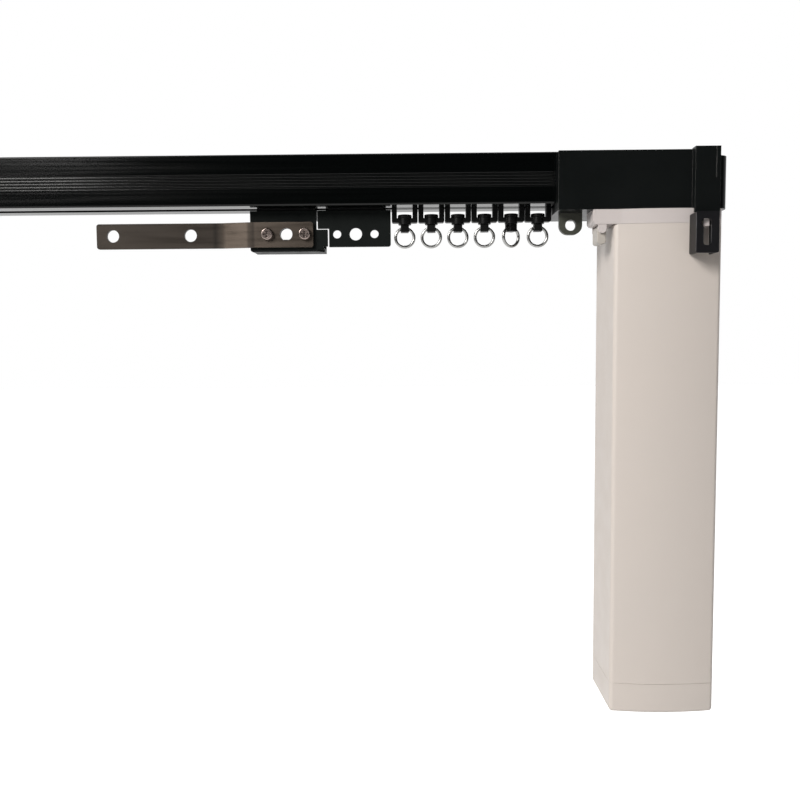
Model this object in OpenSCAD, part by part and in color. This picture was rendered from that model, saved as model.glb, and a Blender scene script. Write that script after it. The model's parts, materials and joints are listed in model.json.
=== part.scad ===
// Electric curtain track: a short cut-to-length rail with its drive box and tube motor at the right end,
// an idler box at the left end, two belt carriers and a row of ring gliders packed against the drive box.
// Origin: middle of the rail, on its top face. X along the rail, front is -Y, Z up. Millimetres.

/* [Rail] */
// Length of the rail, with both ends that sit in the end boxes
rail_len = 412; // [362:5:1212]
// Depth of the rail, front to back
rail_w = 26; // [25:0.5:28]
// Height of the rail
rail_h = 27; // [26.5:0.25:30]
// Wall of the rail's sides
rail_wall = 1.5; // [1.2:0.1:1.8]
// Width of the ceiling channel's mouth
channel_mouth = 10; // [8:0.5:12]
// Inside height of the ceiling channel
channel_h = 5; // [4.6:0.1:5.4]
// Width of the slot that the carriers hang through
slot_w = 6; // [5.4:0.1:6.6]
// Number of fine ribs on each side face
rib_count = 4; // [2:1:5]

/* [End boxes] */
// Depth of both end boxes, front to back
box_d = 41; // [39:0.5:45]
// Floor of both end boxes below the rail
box_floor = 4.75; // [4.5:0.25:6.5]
// How far the boxes' tops lie below the rail's top
box_drop = 1.25; // [1:0.25:2]
// How deep the rail's ends sit in the boxes
socket_depth = 20; // [14:1:26]
// From the rail's end to the drive axis
drive_reach = 37.5; // [34:0.5:42]
// From the rail's end to the idler axis
idler_reach = 20.5; // [18:0.5:26]
// From the drive axis to the drive box's outer end
drive_nose = 31; // [28:0.5:36]
// From the idler axis to the idler box's outer end
idler_nose = 19.5; // [17:0.5:24]
// Corner radius at the outer ends of the boxes
box_corner = 5; // [4:0.5:12]
// Thickness of the box lids
lid_t = 2.5; // [2:0.1:3]

/* [Belt] */
// Pitch of the belt's teeth
belt_pitch = 5; // [4.8:0.05:5.2]
// Teeth on each pulley
pulley_teeth = 10; // [10:1:10]
// Height of the belt's band
belt_h = 8; // [6:0.25:8.25]
// Thickness of the belt's band
belt_t = 1.2; // [1:0.1:1.4]

/* [Motor] */
// Width of the motor
motor_w = 56.2; // [54:0.2:60]
// Depth of the motor at its crown
motor_d = 46; // [44:0.5:48]
// How far the front and back faces are crowned
motor_crown = 2; // [0.5:0.25:3]
// Corner radius of the motor's outline
motor_corner = 2.4; // [1:0.2:4]
// Wall of the motor's case
motor_wall = 2; // [1.4:0.1:2.6]
// Height of the motor's head
head_h = 7.65; // [7:0.05:10]
// Length of the motor's case
case_len = 247; // [240:1:320]
// Height of the motor's base
base_h = 16.1; // [14:0.1:22]
// How far the head overhangs to the left of the case
overhang = 11.2; // [10:0.1:13]

/* [Carriers] */
// Length of a carrier's hanger plate
hanger_w = 40; // [39:0.25:41]
// Thickness of the hanger plates and of the overlap arm
plate_t = 2; // [1.5:0.1:2.4]
// Distance of a hanger's outer holes from each other
hanger_pitch = 20.5; // [18:0.25:24]
// Radius of a hanger's outer holes
hanger_hole_r = 2.25; // [2:0.05:3]
// Radius of a hanger's middle hole
hanger_mid_r = 3.4; // [3:0.1:4]
// Distance between the two carriers
carrier_pitch = 37.9; // [37.9:0.1:42]
// Radius of the running wheels
wheel_r = 3.4; // [3:0.05:3.45]
// Length of the overlap arm
arm_len = 119.7; // [100:0.1:160]
// Height of the overlap arm
arm_h = 13.7; // [11:0.1:13.8]
// How far the arm's free end is set back
arm_joggle = 2.5; // [1:0.5:8]
// Radius of the overlap arm's holes
arm_hole_r = 3.4; // [2.5:0.1:4]
// Distance of the overlap arm's holes from each other
arm_hole_pitch = 42.9; // [30:0.1:44]

/* [Gliders] */
// Distance between packed gliders
glider_pitch = 14.6; // [14.6:0.1:16]
// Width of a glider's frame
glider_w = 14.2; // [13:0.1:14.2]
// Thickness of a glider's frame
glider_t = 4.4; // [4:0.1:4.6]
// Radius of the curtain ring, to the middle of its wire
ring_r = 5.1; // [4.8:0.05:5.3]
// Radius of the ring's wire
ring_wire_r = 0.85; // [0.7:0.05:0.95]

/* [Clearances] */
// Radial running clearance of shafts and axles
run_clear = 0.06; // [0.03:0.01:0.1]
// Clearance round seated pieces
seat_clear = 0.1; // [0.05:0.05:0.2]
// Gap between pieces that move past each other
pass_gap = 0.5; // [0.4:0.05:0.8]

/* [Hidden] */
$fn = 64;
eps = 0.01;

// Rail section, downwards from the top face
lip_t = 1.5;
web_t = 1.5;
flange_t = 1.6;
chamber_top = -lip_t - channel_h - web_t;
flange_top = -rail_h + flange_t;
chamber_w = rail_w - 2 * rail_wall;
channel_side = 2.5;
rib_band_top = -11;
rib_band_h = 6.5;
rib_groove_d = 0.4;
rib_step = rib_band_h / rib_count;
edge_chamfer = 0.7;

// Places along the rail
rail_end = rail_len / 2;
drive_x0 = rail_end - socket_depth;
drive_x = rail_end + drive_reach;
drive_x1 = drive_x + drive_nose;
idler_x0 = -drive_x0;
idler_x = -rail_end - idler_reach;
idler_x1 = idler_x - idler_nose;
span = drive_x - idler_x;
glider_n = 6;
last_glider_gap = 7.6;

// Belt and pulleys
pitch_r = belt_pitch * pulley_teeth / (2 * PI);
belt_top = chamber_top - 2;
belt_tooth_h = 1.2;
belt_tooth_w = 2.4;
run_teeth = round(span / belt_pitch);
run_pitch = span / run_teeth;
groove_clear = 0.3;
flange_clear = 0.4;
pulley_flange_t = 0.8;
pulley_flange_r = pitch_r + 1.1;
ledge_top = belt_top - belt_h - 0.6;
ledge_t = 1;
ledge_gap = 6.9;

// End boxes
box_top = -box_drop;
box_bottom = -rail_h - box_floor;
pocket_w = 25;
pocket_floor = -21;
lid_margin = 3.5;
lid_w = box_d - 2 * lid_margin;
drive_lid_x1 = drive_x + 24;
idler_lid_x1 = idler_x - 15.5;
lid_screw_in = 5;
lid_screw_y = lid_w / 2 - 2.2;
lid_nose_y = 10;
screw_shank_r = 1;
screw_head_r = 1.9;
screw_head_h = 1.2;
screw_len = 9;
screw_cross = [2.4, 0.5, 0.5];
screw_sink = 0.1;
shaft_r = 3;
bush_r = 4.5;
bush_boss_r = 7;
bush_top = box_top - lid_t - 0.4;
bush_len = 4.3;
floor_bush_len = 5;
idler_pin_r = 2.5;
pin_seat = 5;

// Lock band, lock tab and catch on the motor's front
tab_y = motor_d / 2 + 0.6;
band_x = drive_x + 12;
band_w = 13;
band_top = box_top + 0.6;
band_tail = 2.5;
band_y = tab_y + 1.4;
band_line = [10.5, 16, 0.4];
nose_step = 3.3;
tab_x = drive_x + 9.9;
tab_w = 11.8;
tab_top = box_bottom - band_tail - 0.95;
tab_h = 20.8;
tab_d = 9.9;
tab_wall = 1.7;
tab_neck_w = 7;
tab_neck_t = 1.6;
tab_gap = 0.6;
tab_round = 0.9;
tab_slot_w = 3.1;
tab_slot_h = 13.6;
key_r = 2.3;
tab_slot_x = drive_x + 16;
tab_slot_z = tab_top - 10.2;
nub_w = 3;
nub_h = 3.9;
nub_reach = 7.8;
nub_room = 0.5;

// Motor, downwards
head_top = box_bottom;
case_top = head_top - head_h;
case_bottom = case_top - case_len;
base_bottom = case_bottom - base_h;
nub_z = case_top - 2.9;
spigot_h = 3.6;
overhang_y0 = -motor_d / 2 + motor_crown;
overhang_d = 16;
overhang_round = 2.2;
shaft_hole_r = 5;
gear_r = 18;
gear_h = 49;
shaft_seat = 8;
coil_r = 17.5;
coil_h = 68;
coil_tail = 6;
coil_tail_r = 7;
board_w = 42;
board_t = 1.6;
board_h = case_len - 2 * spigot_h - gear_h - coil_h - coil_tail - 3.8;
chip = [14, 3, 18];
relay = [12, 9, 12];
capacitor_r = 8;
capacitor_h = 22;
base_screw_x = 22;
base_screw_y = 15;
base_screw_r = 1.4;
base_head_r = 2.8;
base_head_h = 2.2;
inlet_x = drive_x + 9;
inlet_w = 16;
inlet_d = 10;
inlet_h = 10.5;
socket_block_h = 4.5;
contact_r = 0.9;
contact_h = 4;
contact_pitch = 7;
button_x = drive_x - 14;
button_r = 3.5;
button_h = 6.3;
button_gap = 0.12;
button_inset = 0.2;
button_room = 1.5;

// Release lever under the overhang
lever_x = drive_x - motor_w / 2 - 6.4;
lever_z = case_top - 2.4;
lever_y = overhang_y0 + 7.4;
lever_len = 7.6;
lever_w = 11;
lever_t = 4.6;
lever_barrel_r = 2.3;
lever_ear_r = 2.2;
lever_round = 1.6;
lever_pin_r = 0.94;
lever_pin_len = 1;
lever_ear_t = 1.4;
lever_ear_gap = 0.2;

// Eye under the drive box
eye_x = drive_x0 + 8.65;
eye_y = -8;
eye_w = 12.3;
eye_h = 11.5;
eye_t = 3;
eye_round = 5;
eye_hole_r = 2.9;
eye_hole_drop = 6.5;
eye_pin_r = 1.3;
eye_pin_h = 1.8;

// Carriers
hanger_shift = 0.85;
carrier_b_x = glider_x(1) - glider_w / 2 - 0.6 - hanger_w / 2 + hanger_shift;
carrier_a_x = carrier_b_x - carrier_pitch;
axle_z = flange_top + wheel_r + 0.15;
axle_r = 1;
wheel_y0 = 3.4;
wheel_w = 3;
neck_t = slot_w - 1.2;
truck_len = 30;
truck_t = 8.8;
truck_bottom = axle_z + wheel_r + pass_gap;
wheel_base = 22;
foot_top = -rail_h - pass_gap;
foot_bottom = -rail_h - 6;
foot_len = 33;
foot_y0 = -1;
foot_d = 5;
clip_len = 18;
clip_t = 1.1;
clip_bridge_t = 1;
clip_drop = 7.4;
hanger_top = foot_top - 0.6;
hanger_b_bottom = -47.9;
hanger_a_bottom = -50.3;
hanger_hole_z = -41;
hanger_round = 1.4;
notch_a = [3.65, 10.3];
tongue_a = [2.5, 9.1];
notch_b = [6.2, 10];
shelf_d = 13;
shelf_rear_h = 8;
shelf_tail = 2;
arm_top = -34.4;
arm_x1 = carrier_a_x + hanger_w / 2 - 5.2;
arm_bend_x1 = carrier_a_x - hanger_w / 2 - 0.4;
arm_bend_len = 15.3;
arm_hole_inset = 9;
arm_screw_r = 1.9;
arm_head_r = 3.2;
arm_head_h = 2.4;
cross_w = 1.1;
cross_len = 3.8;
cross_d = 1.3;

// Gliders
glider_top = truck_bottom;
window_w = 8.6;
window_h = 5.5;
bar_top = -rail_h - window_h;
bar_h = 2.5;
boss_r = 3.5;
boss_bottom = bar_top - 3.5;
swivel_r = 1.3;
swivel_head_r = 3.8;
swivel_head_h = 1.7;
swivel_gap = 0.12;
neck_w = 4.4;
neck_d = 5;
neck_h = 4;
ring_hole_r = 1.55;
ring_hole_z = boss_bottom - 1.8;
swivel_turn = [3, -4, 2, -3, 30, -2];

// Colours
black_gloss = [0.03, 0.03, 0.035];
black_soft = [0.06, 0.06, 0.065];
slate = [0.16, 0.17, 0.18];
warm_grey = [0.78, 0.75, 0.71];
lilac_grey = [0.72, 0.70, 0.70];
plated = [0.48, 0.44, 0.41];
steel = [0.62, 0.62, 0.63];
brass = [0.75, 0.60, 0.32];
circuit = [0.10, 0.32, 0.18];

// Middle of a packed glider; glider 1 is next to the carriers
function glider_x(i) = drive_x0 - last_glider_gap - (glider_n - i) * glider_pitch;

// Points of an arc round a centre
function arc(cx, cy, r, from, to, n) =
    [for (i = [0 : n]) let (a = from + (to - from) * i / n) [cx + r * cos(a), cy + r * sin(a)]];

// One crowned face from left to right, seen from above; side is -1 for the front
function crown_face(w, d, crown, r, side, n) =
    let (reach = w / 2 - r)
    [for (i = [0 : n]) let (x = reach * (2 * i / n - 1)) [-side * x,
        side * (d / 2 - crown * pow(x / reach, 2))]];

// Closed outline of the motor: crowned front and back, flat sides, round corners
function motor_outline(w, d, crown, r) =
    let (cx = w / 2 - r, cy = d / 2 - crown - r)
    concat(
        crown_face(w, d, crown, r, -1, 24),
        arc(cx, -cy, r, -80, 0, 5),
        arc(cx, cy, r, 0, 80, 5),
        crown_face(w, d, crown, r, 1, 24),
        arc(-cx, cy, r, 100, 180, 5),
        arc(-cx, -cy, r, 180, 260, 5)
    );

// Draws a front outline, x along the rail and y upwards, as a plate from y0 to y0 + t
module plate_xz(y0, t) {
    translate([0, y0 + t, 0])
        rotate([90, 0, 0])
            linear_extrude(t) children();
}

// Draws a cross section, x to the back and y upwards, along the rail
module along_x(x0, len) {
    translate([x0, 0, 0])
        rotate([90, 0, 90])
            linear_extrude(len) children();
}

// A block given by its low corner and its size
module block(x, y, z, w, d, h) {
    translate([x, y, z]) cube([w, d, h]);
}

// A rod along Z from z0 up to z1
module rod_z(x, y, z0, z1, r) {
    translate([x, y, z0]) cylinder(r = r, h = z1 - z0);
}

// A rod along Y from y0 to y1
module rod_y(x, z, y0, y1, r) {
    translate([x, y1, z]) rotate([90, 0, 0]) cylinder(r = r, h = y1 - y0);
}

// A flat rectangle with round corners at its lower end
module round_foot(w, top, bottom, r) {
    translate([-w / 2, bottom + r]) square([w, top - bottom - r]);
    translate([-w / 2 + r, bottom]) square([w - 2 * r, r + eps]);
    for (s = [-1, 1])
        translate([s * (w / 2 - r), bottom + r]) circle(r);
}

// A flat rectangle from x0 to x1 with round corners
module round_bar(x0, x1, y0, y1, r) {
    translate([x0 + r, y0]) square([x1 - x0 - 2 * r, y1 - y0]);
    translate([x0, y0 + r]) square([x1 - x0, y1 - y0 - 2 * r]);
    for (x = [x0 + r, x1 - r], y = [y0 + r, y1 - r])
        translate([x, y]) circle(r);
}

// Motor outline shrunk by a wall, from z0 up to z1
module motor_prism(z0, z1, wall) {
    translate([drive_x, 0, z0])
        linear_extrude(z1 - z0)
            polygon(motor_outline(
                motor_w - 2 * wall, motor_d - 2 * wall, motor_crown, max(0.5, motor_corner - wall / 2)));
}

// Extrusion: ceiling channel above, belt and wheel chamber below
module rail() {
    color(black_gloss)
    along_x(-rail_end, rail_len)
    difference() {
        translate([-rail_w / 2, -rail_h]) square([rail_w, rail_h]);
        translate([-chamber_w / 2 + channel_side - rail_wall, -lip_t - channel_h])
            square([chamber_w - 2 * channel_side + 2 * rail_wall, channel_h]);
        translate([-channel_mouth / 2, -lip_t - eps]) square([channel_mouth, lip_t + 1]);
        translate([-chamber_w / 2, ledge_top]) square([chamber_w, chamber_top - ledge_top]);
        translate([-ledge_gap, ledge_top - ledge_t - eps]) square([2 * ledge_gap, ledge_t + 2 * eps]);
        translate([-chamber_w / 2, flange_top]) square([chamber_w, ledge_top - ledge_t - flange_top]);
        translate([-slot_w / 2, -rail_h - 1]) square([slot_w, flange_t + 1 + eps]);
        for (side = [-1, 1], i = [0 : rib_count])
            translate([side * rail_w / 2 - rib_groove_d, rib_band_top - i * rib_step - rib_groove_d])
                square([2 * rib_groove_d, 2 * rib_groove_d]);
        for (side = [-1, 1], z = [0, -rail_h])
            translate([side * rail_w / 2, z]) rotate(45) square(edge_chamfer * sqrt(2), center = true);
    }
}

// Closed belt round both pulleys, teeth on the inner face
module toothed_belt() {
    module loop(r) {
        translate([idler_x, -r]) square([span, 2 * r]);
        for (x = [idler_x, drive_x])
            translate([x, 0]) circle(r);
    }
    module tooth() {
        translate([-belt_tooth_w / 2, -belt_t / 2 - belt_tooth_h])
            square([belt_tooth_w, belt_tooth_h + belt_t / 2]);
    }
    color(black_soft)
    translate([0, 0, belt_top - belt_h])
    linear_extrude(belt_h)
    union() {
        difference() {
            loop(pitch_r + belt_t / 2);
            loop(pitch_r - belt_t / 2);
        }
        for (i = [0 : run_teeth])
            translate([idler_x + i * run_pitch, 0]) {
                translate([0, pitch_r]) tooth();
                rotate(180) translate([0, pitch_r]) tooth();
            }
        for (i = [1 : pulley_teeth / 2 - 1], end = [0, 1])
            translate([end == 0 ? idler_x : drive_x, 0])
                rotate((end == 0 ? 1 : -1) * i * 360 / pulley_teeth)
                    translate([0, pitch_r]) tooth();
    }
}

// Toothed pulley between two flanges
module pulley(x, bore_r) {
    body_top = belt_top + flange_clear;
    body_bottom = belt_top - belt_h - flange_clear;
    tip_r = pitch_r - belt_t / 2 - 0.15;
    root_r = pitch_r - belt_t / 2 - belt_tooth_h - groove_clear;
    groove_w = belt_tooth_w + 2 * groove_clear;
    difference() {
        union() {
            translate([x, 0, body_bottom])
                linear_extrude(body_top - body_bottom)
                    difference() {
                        circle(tip_r);
                        for (i = [0 : pulley_teeth - 1])
                            rotate(90 + i * 360 / pulley_teeth)
                                translate([root_r, -groove_w / 2]) square([tip_r, groove_w]);
                    }
            rod_z(x, 0, body_top - eps, body_top + pulley_flange_t, pulley_flange_r);
            rod_z(x, 0, body_bottom - pulley_flange_t, body_bottom + eps, pulley_flange_r);
        }
        rod_z(x, 0, body_bottom - 2, body_top + 2, bore_r);
    }
}

// Outline of an end box from above: square inner end, round outer corners
module box_plan(inner, outer) {
    dir = sign(outer - inner);
    len = abs(outer - inner);
    translate([inner, 0]) scale([dir, 1]) {
        translate([0, -box_d / 2]) square([len - box_corner, box_d]);
        translate([len - box_corner - eps, -box_d / 2 + box_corner])
            square([box_corner + eps, box_d - 2 * box_corner]);
        for (s = [-1, 1])
            translate([len - box_corner, s * (box_d / 2 - box_corner)]) circle(box_corner);
    }
}

// Box with a rail socket, a pulley pocket and a lid recess, all open to the top
module end_box(inner, outer, axis_x, lid_end) {
    dir = sign(outer - inner);
    rail_face = dir * rail_end;
    difference() {
        translate([0, 0, box_bottom]) linear_extrude(box_top - box_bottom) box_plan(inner, outer);
        block(min(inner - dir, rail_face), -rail_w / 2 - seat_clear, -rail_h - seat_clear,
            socket_depth + 1, rail_w + 2 * seat_clear, rail_h + 1);
        block(min(rail_face - dir, axis_x), -pocket_w / 2, pocket_floor,
            abs(axis_x - rail_face) + 1, pocket_w, 1 - pocket_floor);
        rod_z(axis_x, 0, pocket_floor, 1, pocket_w / 2);
        block(min(rail_face - dir, lid_end + dir * seat_clear), -lid_w / 2 - seat_clear, box_top - lid_t,
            abs(lid_end - rail_face) + 1 + seat_clear, lid_w + 2 * seat_clear, lid_t + 1);
        for (p = lid_screws(rail_face, lid_end, dir))
            rod_z(p[0], p[1], box_top - screw_len, 1, screw_shank_r);
    }
}

// Places of a lid's four screws
function lid_screws(rail_face, lid_end, dir) = [
    for (s = [-1, 1], at = [0, 1])
        at == 0
            ? [rail_face + dir * lid_screw_in, s * lid_screw_y]
            : [lid_end - dir * lid_screw_in / 2, s * lid_nose_y]
];

// Flush lid with four countersunk screw holes
module box_lid(rail_face, lid_end) {
    dir = sign(lid_end - rail_face);
    difference() {
        block(min(rail_face + dir * seat_clear, lid_end), -lid_w / 2, box_top - lid_t,
            abs(lid_end - rail_face) - seat_clear, lid_w, lid_t);
        for (p = lid_screws(rail_face, lid_end, dir)) {
            rod_z(p[0], p[1], box_top - lid_t - 1, 1, screw_shank_r);
            rod_z(p[0], p[1], box_top - screw_head_h, 1, screw_head_r);
        }
    }
}

// Upper band of the lock: over the box's front and down past its floor, a fine groove near its right edge
module lock_band() {
    tail_z = head_top - band_tail;
    difference() {
        block(band_x, -band_y, tail_z, band_w, band_y - box_d / 2 + 1, band_top - tail_z);
        block(band_x - 1, -tab_y + 0.3, tail_z - 1, band_w + 2, tab_y, band_tail + 1);
        block(band_x + band_line[0], -band_y - 1, band_top - band_line[1], band_line[2],
            1 + band_line[2], band_line[1] + 1);
    }
}

// Drive box with the lock's upper band on its front
module drive_housing() {
    color(black_gloss)
    difference() {
        union() {
            end_box(drive_x0, drive_x1, drive_x, drive_lid_x1);
            lock_band();
        }
        block(band_x + band_w, -box_d, box_top - nose_step, drive_nose, 2 * box_d, nose_step + 1);
        rod_z(drive_x, 0, box_bottom - 1, 0, shaft_r + 1);
        rod_z(drive_x, 0, pocket_floor - floor_bush_len, 0, bush_r);
        rod_z(eye_x, eye_y, box_bottom - 1, box_bottom + eye_pin_h + 0.1, eye_pin_r);
    }
}

module drive_lid() {
    color(black_gloss)
    difference() {
        union() {
            box_lid(rail_end, drive_lid_x1);
            rod_z(drive_x, 0, bush_top - bush_len, box_top - lid_t + eps, bush_boss_r);
        }
        rod_z(drive_x, 0, bush_top - bush_len - 1, bush_top, bush_r);
    }
}

// Two plain bushes for the output shaft: one in the lid's boss, one in the box's floor
module spindle_bushes() {
    color(brass)
    for (z = [bush_top - bush_len, pocket_floor - floor_bush_len])
        difference() {
            rod_z(drive_x, 0, z, z + (z < pocket_floor ? floor_bush_len : bush_len), bush_r);
            rod_z(drive_x, 0, z - 1, z + floor_bush_len + 1, shaft_r + run_clear);
        }
}

module housing_screws() {
    color(steel)
    for (p = concat(lid_screws(rail_end, drive_lid_x1, 1), lid_screws(-rail_end, idler_lid_x1, -1))) {
        difference() {
            rod_z(p[0], p[1], box_top - screw_head_h, box_top - screw_sink, screw_head_r);
            for (turn = [0, 90])
                translate([p[0], p[1], box_top - screw_sink]) rotate(turn)
                    cube([screw_cross[0], screw_cross[1], 2 * screw_cross[2]], center = true);
        }
        rod_z(p[0], p[1], box_top - screw_len + 0.5, box_top - screw_head_h + eps, screw_shank_r);
    }
}

// Ear that holds the last hook of the curtain
module end_eye() {
    color(slate)
    difference() {
        union() {
            translate([eye_x, 0, 0])
                plate_xz(eye_y - eye_t / 2, eye_t) round_foot(eye_w, box_bottom, box_bottom - eye_h,
                    eye_round);
            rod_z(eye_x, eye_y, box_bottom - eps, box_bottom + eye_pin_h, eye_pin_r);
        }
        rod_y(eye_x, box_bottom - eye_hole_drop, eye_y - eye_t, eye_y + eye_t, eye_hole_r);
    }
}

module idler_housing() {
    color(black_gloss)
    difference() {
        end_box(idler_x0, idler_x1, idler_x, idler_lid_x1);
        rod_z(idler_x, 0, pocket_floor - pin_seat, 0, idler_pin_r);
    }
}

module idler_lid() {
    color(black_gloss) box_lid(-rail_end, idler_lid_x1);
}

module idler_pin() {
    color(steel) rod_z(idler_x, 0, pocket_floor - pin_seat, box_top - lid_t, idler_pin_r);
}

module idler_pulley() {
    color(warm_grey) pulley(idler_x, idler_pin_r + run_clear);
    spacer_bottom = belt_top - belt_h - flange_clear - pulley_flange_t;
    color(warm_grey)
    difference() {
        rod_z(idler_x, 0, pocket_floor + 0.2, spacer_bottom + eps, idler_pin_r + 1.6);
        rod_z(idler_x, 0, pocket_floor - 1, spacer_bottom + 1, idler_pin_r + run_clear);
    }
}

module drive_pulley() {
    color(warm_grey) pulley(drive_x, shaft_r);
}

// Shaft from the gearbox up through the drive box
module output_shaft() {
    color(steel) rod_z(drive_x, 0, case_top - spigot_h - shaft_seat + 0.3, bush_top - 0.2, shaft_r);
}

// Head of the motor with the overhang, the lever's ears and the catch for the lock
module motor_head() {
    ear_y = lever_w / 2 + lever_ear_gap;
    ledge_x = drive_x - motor_w / 2 - overhang;
    color(lilac_grey)
    difference() {
        union() {
            motor_prism(case_top, head_top, 0);
            motor_prism(case_top - spigot_h, case_top + eps, motor_wall + seat_clear);
            plate_xz(overhang_y0, overhang_d) {
                translate([ledge_x, case_top + overhang_round])
                    square([overhang + 4, head_h - overhang_round]);
                translate([ledge_x + overhang_round, case_top])
                    square([overhang + 4 - overhang_round, head_h]);
                translate([ledge_x + overhang_round, case_top + overhang_round]) circle(overhang_round);
            }
            for (s = [-1, 1])
                translate([0, lever_y + s * (ear_y + lever_ear_t / 2), 0])
                    plate_xz(-lever_ear_t / 2, lever_ear_t) {
                        translate([lever_x - lever_ear_r, lever_z])
                            square([2 * lever_ear_r, case_top - lever_z + eps]);
                        translate([lever_x, lever_z]) circle(lever_ear_r);
                    }
            block(tab_slot_x - nub_w / 2, -motor_d / 2 - nub_reach, nub_z, nub_w, nub_reach - 0.3, nub_h);
            block(tab_slot_x - nub_w / 2, -motor_d / 2 - nub_reach, case_top, nub_w, nub_reach + 4,
                nub_z + nub_h - case_top);
        }
        rod_z(drive_x, 0, case_top - spigot_h - 1, head_top + 1, shaft_hole_r);
        rod_y(lever_x, lever_z, lever_y - ear_y - lever_pin_len - 0.1, lever_y + ear_y + lever_pin_len + 0.1,
            lever_pin_r + run_clear);
    }
}

module motor_case() {
    color(warm_grey)
    difference() {
        motor_prism(case_bottom, case_top, 0);
        motor_prism(case_bottom - 1, case_top + 1, motor_wall);
    }
}

// End cap with the inlet recess, the button's bore and four screw holes
module motor_base() {
    color(warm_grey)
    difference() {
        union() {
            motor_prism(base_bottom, case_bottom, 0);
            motor_prism(case_bottom - eps, case_bottom + spigot_h, motor_wall + seat_clear);
        }
        block(inlet_x - inlet_w / 2, -inlet_d / 2, base_bottom - 1, inlet_w, inlet_d,
            inlet_h + socket_block_h + 1);
        rod_z(button_x, 0, base_bottom - 1, base_bottom + button_inset + button_h + button_room,
            button_r + button_gap);
        for (sx = [-1, 1], sy = [-1, 1]) {
            rod_z(drive_x + sx * base_screw_x, sy * base_screw_y, base_bottom - 1, case_bottom + 1,
                base_screw_r);
            rod_z(drive_x + sx * base_screw_x, sy * base_screw_y, base_bottom - 1,
                base_bottom + base_head_h + 0.3,
                base_head_r + 0.2);
        }
    }
}

module base_screws() {
    color(steel)
    for (sx = [-1, 1], sy = [-1, 1])
        translate([drive_x + sx * base_screw_x, sy * base_screw_y, base_bottom + 0.3]) {
            difference() {
                cylinder(r = base_head_r, h = base_head_h);
                translate([-1.6, -0.3, -1]) cube([3.2, 0.6, 1.8]);
                translate([-0.3, -1.6, -1]) cube([0.6, 3.2, 1.8]);
            }
            translate([0, 0, base_head_h - eps]) cylinder(r = base_screw_r, h = base_h - base_head_h);
        }
}

module gearbox() {
    color(steel)
    difference() {
        rod_z(drive_x, 0, case_top - spigot_h - gear_h, case_top - spigot_h, gear_r);
        rod_z(drive_x, 0, case_top - spigot_h - shaft_seat, case_top, shaft_r + run_clear);
    }
}

module dc_motor() {
    top = case_top - spigot_h - gear_h;
    color(steel) {
        rod_z(drive_x, 0, top - coil_h, top, coil_r);
        rod_z(drive_x, 0, top - coil_h - coil_tail, top - coil_h + eps, coil_tail_r);
    }
}

// Board that stands on the base, with its larger components
module control_board() {
    foot = case_bottom + spigot_h;
    color(circuit) {
        block(drive_x - board_w / 2, -board_t / 2, foot, board_w, board_t, board_h);
        block(drive_x - chip[0] - 1, -board_t / 2 - chip[1], foot + board_h * 0.2, chip[0],
            chip[1] + eps, chip[2]);
        block(drive_x + 1, -board_t / 2 - relay[1], foot + board_h * 0.45, relay[0], relay[1] + eps,
            relay[2]);
        rod_z(drive_x + capacitor_r, capacitor_r + board_t / 2 - eps, foot + board_h * 0.1,
            foot + board_h * 0.1 + capacitor_h, capacitor_r);
    }
}

// Inlet block with two contacts, at the end of the recess in the base
module power_socket() {
    block_bottom = base_bottom + inlet_h;
    color(black_soft) {
        block(inlet_x - inlet_w / 2, -inlet_d / 2, block_bottom, inlet_w, inlet_d, socket_block_h);
        for (s = [-1, 1])
            rod_z(inlet_x + s * contact_pitch / 2, 0, block_bottom - contact_h, block_bottom + eps,
                contact_r);
    }
}

module set_button() {
    color(slate) rod_z(button_x, 0, base_bottom + button_inset, base_bottom + button_inset + button_h,
        button_r);
}

// Hollow latch that hangs from the band; the motor's stud sits behind its keyhole
module lock_tab() {
    neck_y = -band_y + tab_neck_t / 2;
    color(slate)
    difference() {
        union() {
            plate_xz(-tab_y - tab_d, tab_d)
                round_bar(tab_x, tab_x + tab_w, tab_top - tab_h, tab_top, tab_round);
            block(tab_x + (tab_w - tab_neck_w) / 2, neck_y - tab_neck_t / 2, tab_top - tab_round - 1,
                tab_neck_w,
                tab_neck_t, head_top - band_tail - tab_gap - tab_top + tab_round + 1);
        }
        plate_xz(-tab_y - tab_d - 1, tab_d) {
            round_bar(tab_slot_x - tab_slot_w / 2, tab_slot_x + tab_slot_w / 2,
                tab_slot_z - tab_slot_h / 2, tab_slot_z + tab_slot_h / 2, tab_slot_w / 2 - eps);
            translate([tab_slot_x - (key_r - tab_slot_w / 2) / 2, tab_slot_z + tab_slot_h / 2 - key_r])
                circle(key_r);
        }
        block(tab_x + tab_wall, -tab_y - tab_d + tab_wall, tab_top - tab_h - 1, tab_w - 2 * tab_wall, tab_d,
            nub_z + nub_h + nub_room - tab_top + tab_h + 1);
    }
}

// Sprung lever with a pivot barrel and two stub pins
module release_lever() {
    pin_y = lever_w / 2 + lever_ear_gap + lever_pin_len;
    color(warm_grey) {
        rod_y(lever_x, lever_z, lever_y - lever_w / 2, lever_y + lever_w / 2, lever_barrel_r);
        rod_y(lever_x, lever_z, lever_y - pin_y, lever_y + pin_y, lever_pin_r);
        translate([lever_x, 0, lever_z])
            plate_xz(lever_y - lever_w / 2, lever_w) round_foot(lever_t, 0, -lever_len, lever_round);
    }
}

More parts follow.
